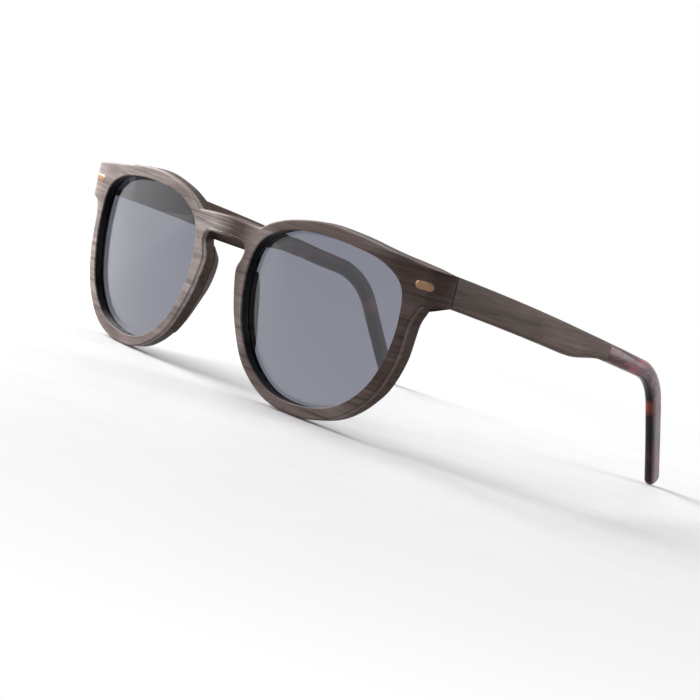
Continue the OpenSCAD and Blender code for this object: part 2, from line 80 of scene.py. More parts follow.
# Steps of the grids: columns of the front by stretch, rows of its faces, lens, liner, pad, bar corner
TOP_STEPS, BROW_STEPS, SEAM_STEPS, CHEEK_STEPS = 16, 20, 16, 16
FACE_ROWS, BACK_ROWS = 26, 21
LENS_RINGS, LENS_STEPS, LINER_STEPS, PAD_ROWS, CORNER_STEPS = 22, 14, 16, 72, 8
# Rows beside the front's edges as shares of the edge's radius, and rows of its wall as shares of its depth
NEAR_LENS = np.array((0, 0.1, 0.25, 0.5, 0.8, 1.2))
NEAR_EDGE = np.array((1.3, 0.95, 0.65, 0.4, 0.2, 0.06, 0))
NEAR_BACK = np.array((0, 0.06, 0.2, 0.4, 0.65, 1.0, 1.4))
WALL_ROWS = np.array((0.1, 0.3, 0.5, 0.7, 0.9))

LENS_X = (BRIDGE_GAP + LENS_W) / 2
END_X = LENS_X + LENS_W / 2 + END_REACH
END_TOP = LENS_H / 2 - END_BELOW
END_BOTTOM = END_TOP - END_H
KNUCKLE_R = KNUCKLE_D / 2
ARM_SIDE = KNUCKLE_R + KNUCKLE_CLEAR
PIN_X = END_X - ARM_INSET - ARM_T - ARM_SIDE
HINGE_Z = END_BOTTOM + END_H / 2


def wrap_y(x, depth=0.0):
    """Distance behind the bridge of the bent front at x: a circle about the head, smaller by the depth."""
    return WRAP_R - np.sqrt((WRAP_R - depth) ** 2 - x * x)


SEAM_Y = wrap_y(PIN_X, FRONT_T)
PIN_Y = SEAM_Y + KNUCKLE_R + KNUCKLE_CLEAR / 2
ROUND_X = END_X - END_ROUND
ROUND_Y = wrap_y(ROUND_X, END_ROUND)
MEET_X = ROUND_X * WRAP_R / (WRAP_R - END_ROUND)
# Where the end piece's rounding reaches the seam
END_EDGE_X = ROUND_X + np.sqrt(END_ROUND ** 2 - (ROUND_Y - SEAM_Y) ** 2) - 3 * HAIR


def smooth(u):
    """Smooth step: 0 below 0, 1 above 1, and 3u^2 - 2u^3 between."""
    v = np.clip(u, 0, 1)
    return v * v * (3 - 2 * v)


def spline(points, t, closed=False):
    """Curve through points at the numbers t: knots stand apart by the root of the distance between
    points, and the four nearest points are mixed in pairs three times. Ends are carried on straight."""
    known = np.asarray(points, float)
    count = len(known)
    first = np.minimum(np.floor(t).astype(int), count - 1 if closed else count - 2)
    share = (t - first).reshape((-1,) + (1,) * (known.ndim - 1))
    if closed:
        near = [known[(first + k) % count] for k in (-1, 0, 1, 2)]
    else:
        carried = np.concatenate([[2 * known[0] - known[1]], known, [2 * known[-1] - known[-2]]])
        near = [carried[first + k] for k in range(4)]
    gap = [np.sqrt(np.linalg.norm(b - a, axis=-1, keepdims=True)) for a, b in zip(near, near[1:])]
    k0, k1, k2, k3 = 0, gap[0], gap[0] + gap[1], gap[0] + gap[1] + gap[2]
    knot = k1 + share * gap[1]

    def mix(a, b, start, end):
        return (a * (end - knot) + b * (knot - start)) / (end - start)

    before = mix(near[0], near[1], k0, k1)
    within = mix(near[1], near[2], k1, k2)
    after = mix(near[2], near[3], k2, k3)
    return mix(mix(before, within, k0, k2), mix(within, after, k1, k3), k1, k2)


def left_of(along):
    """Unit vector a quarter turn to the left of a direction: outwards on a clockwise outline."""
    turned = np.stack([-along[..., 1], along[..., 0]], -1)
    return turned / np.linalg.norm(turned, axis=-1, keepdims=True)


# Lens opening as shares of its half width and half height, clockwise from the nose
OPENING = np.array([
    (-1, 0.3), (-0.9, 0.7), (-0.58, 0.93), (-0.16, 1), (0.28, 0.985), (0.7, 0.895), (0.94, 0.7), (1, 0.325),
    (0.95, -0.14), (0.8, -0.55), (0.5, -0.87), (0.08, -1), (-0.34, -0.96), (-0.7, -0.69), (-0.92, -0.28),
]) * (LENS_W / 2, LENS_H / 2) + (LENS_X, 0)
OPENING_OUT = left_of(np.roll(OPENING, -1, 0) - np.roll(OPENING, 1, 0))


def opening_at(t, grown=0.0):
    """Point of the lens opening's curve at t, moved outwards along its normal by grown."""
    before, here, after = (spline(OPENING, np.mod(t + k, len(OPENING)), True) for k in (-0.02, 0, 0.02))
    return here + grown * left_of(after - before)


def round_opening(steps):
    """Numbers once round the opening's curve, with so many steps from point to point."""
    return np.linspace(0, len(OPENING), len(OPENING) * steps, endpoint=False)


def rim_point(i, width):
    """Outer edge of the rim: opening point i moved outwards by the rim's width."""
    return OPENING[i] + width * OPENING_OUT[i]


# Outline of the half front, clockwise: brow from the bridge's notch to the seam, then cheek from the seam
# round the rim and up the nose to the top of the keyhole
NOTCH = np.array((BRIDGE_GAP / 2 + 0.4 * RIM_W, 0.97 * BRIDGE_TOP))
BROW = np.array([
    NOTCH, NOTCH + (RIM_W, 0.65 * RIM_W), rim_point(2, 0.84 * RIM_W), rim_point(3, RIM_W),
    rim_point(4, RIM_W), rim_point(5, 1.2 * RIM_W), (END_EDGE_X, END_TOP),
])
RIM_SIDE = rim_point(7, RIM_W)
NOSE = np.array([
    (0.94 * KEYHOLE_HALF, 0.84 * KEYHOLE_BACK), (NOSE_HALF, NOSE_Z), (1.15 * NOSE_HALF, 0.12 * NOSE_Z),
    rim_point(14, NOSE_RIM_W), rim_point(13, NOSE_RIM_W), rim_point(12, NOSE_RIM_W),
])
KEYHOLE = np.array([
    (KEYHOLE_HALF, 1.07 * KEYHOLE_BACK), (0.76 * KEYHOLE_HALF, 0.98 * KEYHOLE_TOP), (0, KEYHOLE_TOP),
])
CHEEK = np.array([
    (END_EDGE_X, END_BOTTOM), (END_X - 0.5 * END_H, END_BOTTOM - 0.04 * END_H),
    (RIM_SIDE[0] + 0.65 * RIM_W, END_BOTTOM - 0.15 * END_H),
    (RIM_SIDE[0] + 0.3 * RIM_W, END_BOTTOM - 0.4 * END_H), RIM_SIDE,
    *[rim_point(i, RIM_W) for i in range(8, 12)], *NOSE[::-1], *KEYHOLE,
])
# Number on the opening's curve that each point of the brow and of the cheek faces
BROW_FACES = (1.35, 1.7, 2, 3, 4, 5, 6.25)
CHEEK_FACES = (6.75, 6.82, 6.88, 6.94, *range(7, 15), 14.6, 15.05, 15.3, 15.45, 15.6, 15.75)

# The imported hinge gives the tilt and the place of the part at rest
FOLD = next(j for j in frame["joints"] if j["name"] == "left_fold")
LEAN, UPRIGHT = FOLD["axis"][1:]
TILT = np.array(((1, 0, 0), (0, UPRIGHT, LEAN), (0, -LEAN, UPRIGHT)))
LIFT = 1000 * np.array(FOLD["pos_m"]) - TILT @ (PIN_X, PIN_Y, HINGE_Z)


def at_rest(points):
    """Points of the front's frame turned by the rest tilt, moved to the rest place and put in metres."""
    return (np.asarray(points).reshape(-1, 3) @ TILT.T + LIFT) / 1000


def on_arm(points):
    """Points of the open arm's frame, with the hinge pin as its z axis, turned inwards about the pin."""
    x, s, z = np.moveaxis(np.asarray(points, float), -1, 0)
    inward = radians(ARM_INWARD)
    return np.stack([PIN_X + x * cos(inward) - s * sin(inward),
                     PIN_Y + x * sin(inward) + s * cos(inward), z], -1)


def on_bend(flat, depth):
    """Points (x, z) laid on the bend of the front, at a depth behind its face."""
    return np.stack([flat[..., 0], wrap_y(flat[..., 0], depth), flat[..., 1]], -1)


def shell(grid, rows_close=False):
    """Points of a grid whose columns run round, and the quads between neighbouring points."""
    rows, cols = grid.shape[:2]
    i, j = np.meshgrid(np.arange(rows if rows_close else rows - 1), np.arange(cols), indexing="ij")
    up, on = (i + 1) % rows, (j + 1) % cols
    quads = np.stack([i * cols + j, i * cols + on, up * cols + on, up * cols + j], -1)
    return grid.reshape(-1, 3), quads.reshape(-1, 4)


def capped(grid):
    """A grid with its first and last rows closed to their middles."""
    first, last = (np.broadcast_to(grid[k].mean(0), grid[:1].shape) for k in (0, -1))
    return np.concatenate([first, grid, last])


def joined(parts):
    """Several shells as one list of points and quads."""
    starts = np.cumsum([0] + [len(points) for points, _ in parts[:-1]])
    faces = [faces + start for (_, faces), start in zip(parts, starts)]
    return np.concatenate([points for points, _ in parts]), np.concatenate(faces)


def add_piece(name, shape, nodes, body, material, grain=None, edge=None):
    """Mesh of a shape in the front's frame: put at rest, points within 0.002 mm merged, faces turned
    outwards and shaded smooth up to 40 degrees. grain, in centimetres, and edge, the share of a painted
    highlight along the edges, are kept as attributes for the pattern."""
    points, faces = shape
    mesh = bpy.data.meshes.new(name)
    mesh.from_pydata(at_rest(points).tolist(), [], faces.tolist())
    if grain is not None:
        mesh.attributes.new("grain", "FLOAT_VECTOR", "POINT").data.foreach_set("vector", grain.ravel() / 10)
    if edge is not None:
        mesh.attributes.new("edge", "FLOAT", "POINT").data.foreach_set("value", edge.ravel())
    work = bmesh.new()
    work.from_mesh(mesh)
    bmesh.ops.remove_doubles(work, verts=work.verts, dist=2e-6)
    bmesh.ops.recalc_face_normals(work, faces=work.faces)
    work.to_mesh(mesh)
    work.free()
    mesh.shade_smooth()
    mesh.set_sharp_from_angle(angle=radians(40))
    mesh.materials.append(material)
    piece = bpy.data.objects.new(name, mesh)
    bpy.context.scene.collection.objects.link(piece)
    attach(piece, body)
    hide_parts(*nodes)


def on_both_sides(name, shape, material, temple=False, grain=None, edge=None):
    """The left piece and its mirror image, each in place of the node of its own name. The grain of the
    right piece is taken further up the wood, so the two sides do not carry the same figure."""
    points, faces = shape
    for side, sign, shift in (("left", 1, 0), ("right", -1, FIGURE_SHIFT)):
        node_name = f"{name}_{side}"
        figure = None if grain is None else grain + (0, 0, shift)
        add_piece(f"{node_name}_looks", (points * (sign, 1, 1), faces), [node_name],
                  f"temple_{side}" if temple else "front", material, figure, edge)


def rounded(inside, radius):
    """Fall of a quarter-round edge: within the radius, radius - root(radius^2 - (radius - inside)^2)."""
    reach = np.clip(radius - inside, 0, radius)
    return radius - np.sqrt(np.maximum(radius ** 2 - reach ** 2, 0))


def edge_distance(grid, outline, kept):
    """Distance of each point of a grid to the nearest kept stretch of a closed outline, row by row."""
    start = outline[kept]
    along = np.roll(outline, -1, 0)[kept] - start

    def of_row(points):
        away = points[:, None] - start
        share = np.clip((away * along).sum(-1) / (along ** 2).sum(-1), 0, 1)
        return np.linalg.norm(away - share[..., None] * along, axis=-1).min(-1)

    return np.stack([of_row(row) for row in grid])


def front_face(x):
    """Plan of the front face: y and outward normal on the bend's circle, past its end on the end's."""
    ends = x > MEET_X
    end_y = ROUND_Y - np.sqrt(np.maximum(END_ROUND ** 2 - (x - ROUND_X) ** 2, 0))
    y = np.where(ends, end_y, wrap_y(x))
    end_normal = (x - ROUND_X) / END_ROUND, (y - ROUND_Y) / END_ROUND
    return y, np.where(ends, end_normal, (x / WRAP_R, (y - WRAP_R) / WRAP_R))


def back_face(x):
    """Plan of the back: the bend's circle less the thickness, flat behind the end pieces."""
    return np.minimum(wrap_y(x, FRONT_T), SEAM_Y)


def edge_radius(x, z):
    """Radius of the front's outer edge, smaller about the top of the keyhole."""
    crisp = smooth((CRISP_X - x) / 1.5) * smooth((z - CRISP_LOW) / 2) * smooth(CRISP_HIGH - z)
    return SOFT_OUT + (SOFT_KEYHOLE - SOFT_OUT) * crisp


def back_radius(x):
    """Radius of the back's outer edge, smaller behind the end pieces."""
    return SOFT_BACK + (SOFT_SEAM - SOFT_BACK) * smooth((x - SEAM_FROM) / 4)


def front_grain(points):
    """Grain of the front's wood: length along the bend, depth behind the face, and height."""
    x, y, z = np.moveaxis(points, -1, 0)
    return np.stack([WRAP_R * np.arcsin(x / WRAP_R), y - front_face(x)[0], z], -1).reshape(-1, 3)


def straight(first, last, share):
    """Points on the line between two points, at shares of its length."""
    return np.outer(1 - share, first) + np.outer(share, last)


def steps_on(points, steps):
    """Numbers along an open curve, with so many steps from point to point, less the first."""
    spans = len(points) - 1
    return np.linspace(0, spans, spans * steps + 1)[1:]


def front_columns():
    """Outer edge of the half front as columns of the grid: the edge point of each, the number on the
    opening's curve that it faces, and its kind: free edge, end at the seam, keyhole edge or middle line.
    Columns of the middle line crowd towards its ends."""
    top = np.linspace(0, 1, TOP_STEPS + 1)
    brow = steps_on(BROW, BROW_STEPS)
    end = np.linspace(0, 1, SEAM_STEPS + 1)[1:]
    cheek = steps_on(CHEEK, CHEEK_STEPS)
    rise = BRIDGE_TOP - KEYHOLE_TOP
    near = np.array((0.03, 0.1, 0.25, 0.5, 0.8, 1.2, 1.6))
    middle = np.concatenate([near, np.linspace(near[-1], rise - near[-1], 6)[1:-1], rise - near[::-1]])
    points = np.concatenate([
        straight((0, BRIDGE_TOP), NOTCH, top), spline(BROW, brow), straight(BROW[-1], CHEEK[0], end),
        spline(CHEEK, cheek), np.stack([0 * middle, KEYHOLE_TOP + middle], -1)])
    faced = np.concatenate([
        1 + (BROW_FACES[0] - 1) * top,
        np.interp(brow, range(len(BROW)), BROW_FACES),
        BROW_FACES[-1] + (CHEEK_FACES[0] - BROW_FACES[-1]) * end,
        np.interp(cheek, range(len(CHEEK)), CHEEK_FACES),
        CHEEK_FACES[-1] + (1 + len(OPENING) - CHEEK_FACES[-1]) * middle / rise])
    kind = np.concatenate([
        np.repeat("free", len(top) + len(brow)), np.repeat("end", len(end)),
        np.where(cheek > len(CHEEK) - len(KEYHOLE) - 1, "keyhole", "free"), np.repeat("middle", len(middle))])
    under = kind == "keyhole"
    points[under, 1] = np.minimum(points[under, 1], KEYHOLE_TOP)
    return points, faced, kind


def front_shape():
    """Half front as a closed profile carried round the lens opening, then mirrored in x = 0.

    A column of the grid runs from the opening's curve straight to the outer edge. The profile goes from
    the lip over the front face, round the outer edge, over the back face and down the rebate of the
    liner. A face point lies under the bent plan surface by the quarter-round fall of the nearest edge,
    taken along the plan's normal. The keyhole's underside falls evenly with depth."""
    outer, faced, kind = front_columns()
    inner, seat = opening_at(faced), opening_at(faced, LINER_T + HAIR)
    under = kind == "keyhole"
    free = np.isin(kind, ("free", "keyhole")) & ~np.isin(np.roll(kind, -1), ("end", "middle"))

    length = np.linalg.norm(outer - inner, axis=1)
    near_lens = NEAR_LENS[:, None] * SOFT_IN + 0 * length
    near_edge = length - NEAR_EDGE[:, None] * SOFT_OUT
    share = np.linspace(0, 1, FACE_ROWS + 2)[1:-1, None]
    between = near_lens[-1] + share * (near_edge[0] - near_lens[-1])
    across = np.concatenate([near_lens, between, near_edge])
    flat = inner + (across / length)[..., None] * (outer - inner)
    x, z = flat[..., 0], flat[..., 1]
    inside = edge_distance(flat, outer, free)
    fall = (rounded(across, SOFT_IN) + rounded(inside, edge_radius(x, z))
            + rounded(END_EDGE_X - x, SOFT_SEAM))
    y, normal = front_face(x)
    deepest = back_face(x) - back_radius(x) - HAIR
    front = np.stack([x - normal[0] * fall, np.minimum(y - normal[1] * fall, deepest), z], -1)

    rim = front[-1]
    rear_z = np.where(under, np.minimum(outer[:, 1], KEYHOLE_BACK), outer[:, 1])
    rear_outer = np.stack([rim[:, 0], rear_z], -1)
    rear_length = np.linalg.norm(rear_outer - seat, axis=1)
    near_back = NEAR_BACK[:, None] * SOFT_BACK + 0 * rear_length
    share = np.linspace(0, 1, BACK_ROWS + 1)[1:, None]
    rear_across = np.concatenate([near_back, near_back[-1] + share * (rear_length - near_back[-1])])
    rear_flat = rear_outer + (rear_across / rear_length)[..., None] * (seat - rear_outer)
    rear_x = rear_flat[..., 0]
    rear_fall = rounded(edge_distance(rear_flat, rear_outer, free), back_radius(rear_x))
    rear = np.stack([rear_x, back_face(rear_x) - rear_fall, rear_flat[..., 1]], -1)

    wall_x, wall_y = (rim[:, k] + WALL_ROWS[:, None] * (rear[0, :, k] - rim[:, k]) for k in (0, 1))
    slope = KEYHOLE_TOP - (KEYHOLE_TOP - KEYHOLE_BACK) * (wall_y - wrap_y(wall_x)) / FRONT_T
    wall = np.stack([wall_x, wall_y, np.where(under, np.minimum(outer[:, 1], slope), outer[:, 1])], -1)

    lip = np.stack([on_bend(seat, LIP_T), on_bend(inner, LIP_T)])
    grid = np.concatenate([lip, front, wall, rear])
    face_end = len(lip) + len(front)
    # Painted edge highlight: full where the wall starts, less so over the wall and the first rows of the back
    painted_edge_highlight = np.zeros(grid.shape[:2])
    painted_edge_highlight[len(lip):face_end] = np.maximum(np.exp(-inside / HIGHLIGHT_FADE_OUT), np.exp(-across / HIGHLIGHT_FADE_IN))
    painted_edge_highlight[face_end] = 1
    painted_edge_highlight[face_end + 1:face_end + len(wall) + 3] = np.exp(-1)

    points, faces = shell(grid, rows_close=True)
    faces = faces[(np.abs(points[faces, 0]) > 1e-6).any(1)]
    mirror = np.array((-1, 1, 1))
    both = joined([(points, faces), (points * mirror, faces[:, ::-1])])
    grain = front_grain(grid)
    return both, np.concatenate([grain, grain * mirror]), np.tile(painted_edge_highlight.reshape(-1), 2)


def lens_shape():
    """Closed lens: rings from the middle out to the edge in the groove on the front layer of the bend, and
    back to the middle on the rear layer. The middle is domed forwards by LENS_DOME * (1 - ring^2)."""
    edge = opening_at(round_opening(LENS_STEPS), LENS_BITE)
    ring = np.concatenate([np.linspace(0, 1, LENS_RINGS), np.linspace(1, 0, LENS_RINGS)])
    depth = np.repeat((LENS_DEPTH, LENS_DEPTH + LENS_T), LENS_RINGS) - LENS_DOME * (1 - ring ** 2)
    flat = np.array((LENS_X, 0)) + ring[:, None, None] * (edge - (LENS_X, 0))
    return shell(on_bend(flat, depth[:, None]))


def liner_shape():
    """Closed liner: a channel profile (out from the opening, depth) carried round the opening, with the
    lens groove in its inner wall and a softened rear edge."""
    front, rear = LIP_T + HAIR, FRONT_T + 2 * HAIR
    groove_out = LENS_BITE + 2 * HAIR
    groove_front, groove_rear = LENS_DEPTH - 2 * HAIR, LENS_DEPTH + LENS_T + 2 * HAIR
    profile = np.array([
        (LINER_T, front), (2 * HAIR, front), (0, front + 2 * HAIR), (0, LENS_DEPTH / 2), (0, groove_front),
        (groove_out, groove_front), (groove_out, groove_rear), (0, groove_rear), (0, FRONT_T - 0.2),
        (0.06, FRONT_T - 0.05), (0.2, rear), (LINER_T - 0.2, rear), (LINER_T, FRONT_T - 0.05)])
    t = round_opening(LINER_STEPS)
    flat = np.stack([opening_at(t, out) for out in profile[:, 0]])
    return shell(on_bend(flat, profile[:, 1:]), rows_close=True)


def nose_pad_shape():
    """Pad behind the nose side of the rim: a closed section (away from the nose, height behind the front)
    carried along the nose edge. Its height follows the pad's rise, and its nose side leans outwards.
    The shares of lean, width and height run round the section from the nose side's foot."""
    last = len(NOSE) - 1
    u = np.linspace(0, last - 1, PAD_ROWS)
    away = left_of(spline(NOSE, np.minimum(u + 0.03, last)) - spline(NOSE, np.maximum(u - 0.03, 0)))
    heights = np.array((0.04, 0.44, 0.8, 0.97, 1, 0.85, 0.5, 0.04))
    places = np.arange(len(heights))
    rise = PAD_H * spline(np.stack([places, heights], -1), u / u[-1] * places[-1])[:, 1]
    flare = np.minimum(rise * tan(radians(PAD_FLARE)), 0.6 * PAD_W)
    width = PAD_W * smooth(0.35 + 0.9 * rise / PAD_H)
    of_flare = np.array((0, 0.4, 0.8, 1, 0, 0, 0))[:, None]
    of_width = np.array((0, 0, 0.02, 0.12, 0.88, 1, 1))[:, None]
    of_rise = np.array((0.05, 0.4, 0.8, 0.985, 0.93, 0.5, 0.05))[:, None]
    foot = np.array((1, 0, 0, 0, 0, 0, 1))[:, None]
    section = np.stack([of_flare * flare + of_width * width, of_rise * rise - foot * PAD_SINK], -1)
    loop = spline(section, np.linspace(0, 6, 37))
    flat = spline(NOSE, u) + loop[..., :1] * away
    grid = capped(on_bend(flat, FRONT_T + loop[..., 1]).swapaxes(0, 1))
    return shell(grid), front_grain(grid)


def rivet_shape():
    """Long round-ended rivet: rings shrink from the outline to its middle line, domed by 1 - ring^4 above
    the front face and closed below it."""
    half, r = (RIVET_LEN - RIVET_H) / 2, RIVET_H / 2
    turn = np.linspace(-pi / 2, pi / 2, 25)
    run = np.linspace(-half, half, 11)[1:-1]
    middle = np.concatenate([0 * turn + half, run[::-1], 0 * turn - half, run])
    way = np.concatenate([turn, 0 * run + pi / 2, turn + pi, 0 * run - pi / 2])
    below = np.array((0, 0.6, 1))
    above = np.array((1, 0.995, 0.97, 0.93, 0.86, 0.7, 0.5, 0.3, 0.12, 0))
    dome = RIVET_PROUD * (1 - above ** 4) - np.where(above == 1, 2 * HAIR, 0)
    ring = np.concatenate([below, above])[:, None]
    high = np.concatenate([0 * below - RIVET_SINK, dome])[:, None]
    x = END_X - RIVET_IN + middle + ring * r * np.cos(way)
    z = HINGE_Z + ring * r * np.sin(way)
    y, normal = front_face(x)
    return shell(np.stack([x + normal[0] * high, y + normal[1] * high, z], -1))


def four_corners(steps):
    """Once round four quarter circles: the angle, and the two signs of the corner that each is moved to."""
    turn = np.concatenate([np.linspace(k, k + 1, steps) for k in range(4)]) * pi / 2
    return turn, np.repeat((1, -1, -1, 1), steps), np.repeat((1, 1, -1, -1), steps)


def bar_section(thick, high, soft):
    """Rounded rectangle: four quarter circles of radius soft about the inset corners, as (x, z) loops."""
    turn, side_x, side_z = four_corners(CORNER_STEPS)
    x = side_x * (thick / 2 - soft)[..., None] + soft[..., None] * np.cos(turn)
    z = side_z * (high / 2 - soft)[..., None] + soft[..., None] * np.sin(turn)
    return x, z


def arm_top(s):
    """Top edge of the arm at distance s behind the pin: a falling line with a slight crown."""
    return (END_TOP - (s + PIN_Y - SEAM_Y) * tan(radians(ARM_DROP))
            + 4 * ARM_CROWN * s / ARM_LEN * (1 - s / ARM_LEN))


def arm_high(s):
    """Height of the arm: even at first, then tapering smoothly to the tip."""
    return END_H + (ARM_H_BACK - END_H) * smooth((s - ARM_EVEN) / (ARM_LEN - ARM_EVEN))


def arm_shape():
    """Wooden arm: rounded rectangles carried along the arm, softer from 25 to 65 mm. The front end is cut
    along the seam, so a point's place along the arm starts where the seam plane meets its own x."""
    share = np.concatenate([[0, 0, 0.0008, 0.002], np.linspace(0.01, 1, 64), [1, 1]])
    size = np.concatenate([[0, 0.985, 0.995, 1], np.ones(64), [0.6, 0]])[:, None]
    along = share * ARM_LEN
    soft = ARM_SOFT + (ARM_SOFT_BACK - ARM_SOFT) * smooth((along - 25) / 40)
    x, z = bar_section(ARM_T * np.ones_like(along), arm_high(along), soft)
    x, z = x * size, z * size
    inward = radians(ARM_INWARD)
    side = ARM_SIDE + ARM_T / 2 + x
    start = (SEAM_Y + SEAM_GAP - PIN_Y - side * sin(inward)) / cos(inward)
    s = start + share[:, None] * (ARM_LEN - start)
    middle = arm_top(s) - arm_high(s) / 2
    grid = on_arm(np.stack([side, s, middle + z], -1))
    grain = np.stack([s, side, z + 0.35 * middle], -1) + (40, 0, 30)
    # Painted highlight along the arm's rounded corners, fullest at the middle of each corner
    corner = np.tile(np.sin(np.linspace(0, pi, CORNER_STEPS)) ** 2, 4) + np.zeros_like(s)
    return shell(grid), grain.reshape(-1, 3), corner


def tip_shape():
    """Ear tip: rounded bars carried along a straight start, an arc over the ear and a straight end, bent
    slightly towards the head; the end closes as half an ellipse."""
    first, bend = radians(TIP_DROP), radians(EAR_ANGLE)
    arc = EAR_R * bend
    total = TIP_STRAIGHT + arc + EAR_LEN
    closing = TIP_H / 2
    end = np.sin(np.linspace(0, pi / 2, 16))
    even = np.linspace(0.5, total - closing, 110)[:-1]
    run = np.concatenate([[0, 0, 0.1], even, total - closing + closing * end])
    size = np.concatenate([[0, 0.985, 1], np.ones_like(even), np.sqrt(1 - end ** 2)])[:, None]
    angle = first + np.clip((run - TIP_STRAIGHT) / EAR_R, 0, bend)
    before, after = np.minimum(run, TIP_STRAIGHT), np.maximum(run - TIP_STRAIGHT - arc, 0)
    s = before * cos(first) + EAR_R * (np.sin(angle) - sin(first)) + after * cos(first + bend)
    z = -before * sin(first) - EAR_R * (cos(first) - np.cos(angle)) - after * sin(first + bend)
    high = ARM_H_BACK + (TIP_H - ARM_H_BACK) * smooth(run / (total - EAR_LEN / 2))
    thick = ARM_T + (TIP_T - ARM_T) * smooth(run / total)
    soft = ARM_SOFT_BACK + (0.46 * thick - ARM_SOFT_BACK) * smooth(run / TIP_STRAIGHT)
    x, up = bar_section(thick, high, soft)
    x, up = x * size, up * size
    lean = (angle * smooth(run / (1.5 * ARM_H_BACK)))[:, None]
    start_z = arm_top(ARM_LEN) - ARM_H_BACK / 2
    side = ARM_SIDE + ARM_T / 2 - s ** 2 / (2 * TIP_CURVE_R)
    grid = np.stack([side[:, None] + x, ARM_LEN + HAIR + s[:, None] + up * np.sin(lean),
                     start_z + z[:, None] + up * np.cos(lean)], -1)
    place = np.stack([run[:, None] + 0 * x, x, up], -1)
    return shell(on_arm(grid)), place.reshape(-1, 3)


def plate_shape(low, high, soft=0.12):
    """Plate with rounded edges between two corners: a ball's grid cut in eight, its parts moved to the
    plate's inset corners, with the two flat ends closed to their middles."""
    low, high = np.asarray(low, float), np.asarray(high, float)
    lat = np.concatenate([np.linspace(-pi / 2, 0, 4), np.linspace(0, pi / 2, 4)])
    lon, side_x, side_y = four_corners(4)
    ball = np.stack([np.outer(np.cos(lat), np.cos(lon)), np.outer(np.cos(lat), np.sin(lon)),
                     np.outer(np.sin(lat), np.ones_like(lon))], -1)
    sign = np.stack(np.broadcast_arrays(side_x, side_y, np.repeat((-1, 1), 4)[:, None]), -1)
    return shell(capped((low + high) / 2 + sign * ((high - low) / 2 - soft) + soft * ball))


def turned_shape(x, y, low, high, r, soft=0.1):
    """Short round bar along z with softened rims: a profile of radius and height turned about its axis."""
    rim = np.linspace(0, pi / 2, 5)
    radius = np.concatenate([[0], r - soft + soft * np.sin(rim), r - soft + soft * np.cos(rim), [0]])
    height = np.concatenate([
        [low], low + soft - soft * np.cos(rim), high - soft + soft * np.sin(rim), [high]])
    turn = np.linspace(0, 2 * pi, 40, endpoint=False)
    return shell(np.stack([x + np.outer(radius, np.cos(turn)), y + np.outer(radius, np.sin(turn)),
                           np.outer(height, np.ones_like(turn))], -1))


def slotted_head(r, high, deep, slot):
    """Screw head about z, from deep below to high above 0, with a slot across its top. Each row is a chord
    of a circle at one distance from the middle, across the top and back across the underside."""
    half = slot / (2 * r)
    side = half + (1 - half) * np.cos(np.linspace(0, pi / 2, 9)[:-1])
    row = np.concatenate([-side, half * np.array((-1, -1, -0.5, 0, 0.5, 1, 1)), side[::-1]])[:, None]
    in_slot = np.concatenate([0 * side, (0, 1, 1, 1, 1, 1, 0), 0 * side])[:, None]
    across = np.concatenate([np.linspace(-1, 1, 13), np.linspace(1, -1, 13)])
    on_top = np.repeat((True, False), 13)
    x = r * row + 0 * across
    y = np.sqrt(np.maximum(r * r - x * x, 0)) * across
    ring = np.sqrt(x * x + y * y) / r
    crown = high * (1 - 0.7 * ring ** 4) - 0.6 * in_slot * (high + 0.5 * deep)
    return shell(np.stack([x, y, np.where(on_top, crown, -deep)], -1))


def turned_to(shape, x_axis, y_axis, z_axis, place):
    """A shape with its own axes laid along three given ones and moved to a place."""
    points, faces = shape
    return points @ np.array((x_axis, y_axis, z_axis), float) + np.array(place), faces


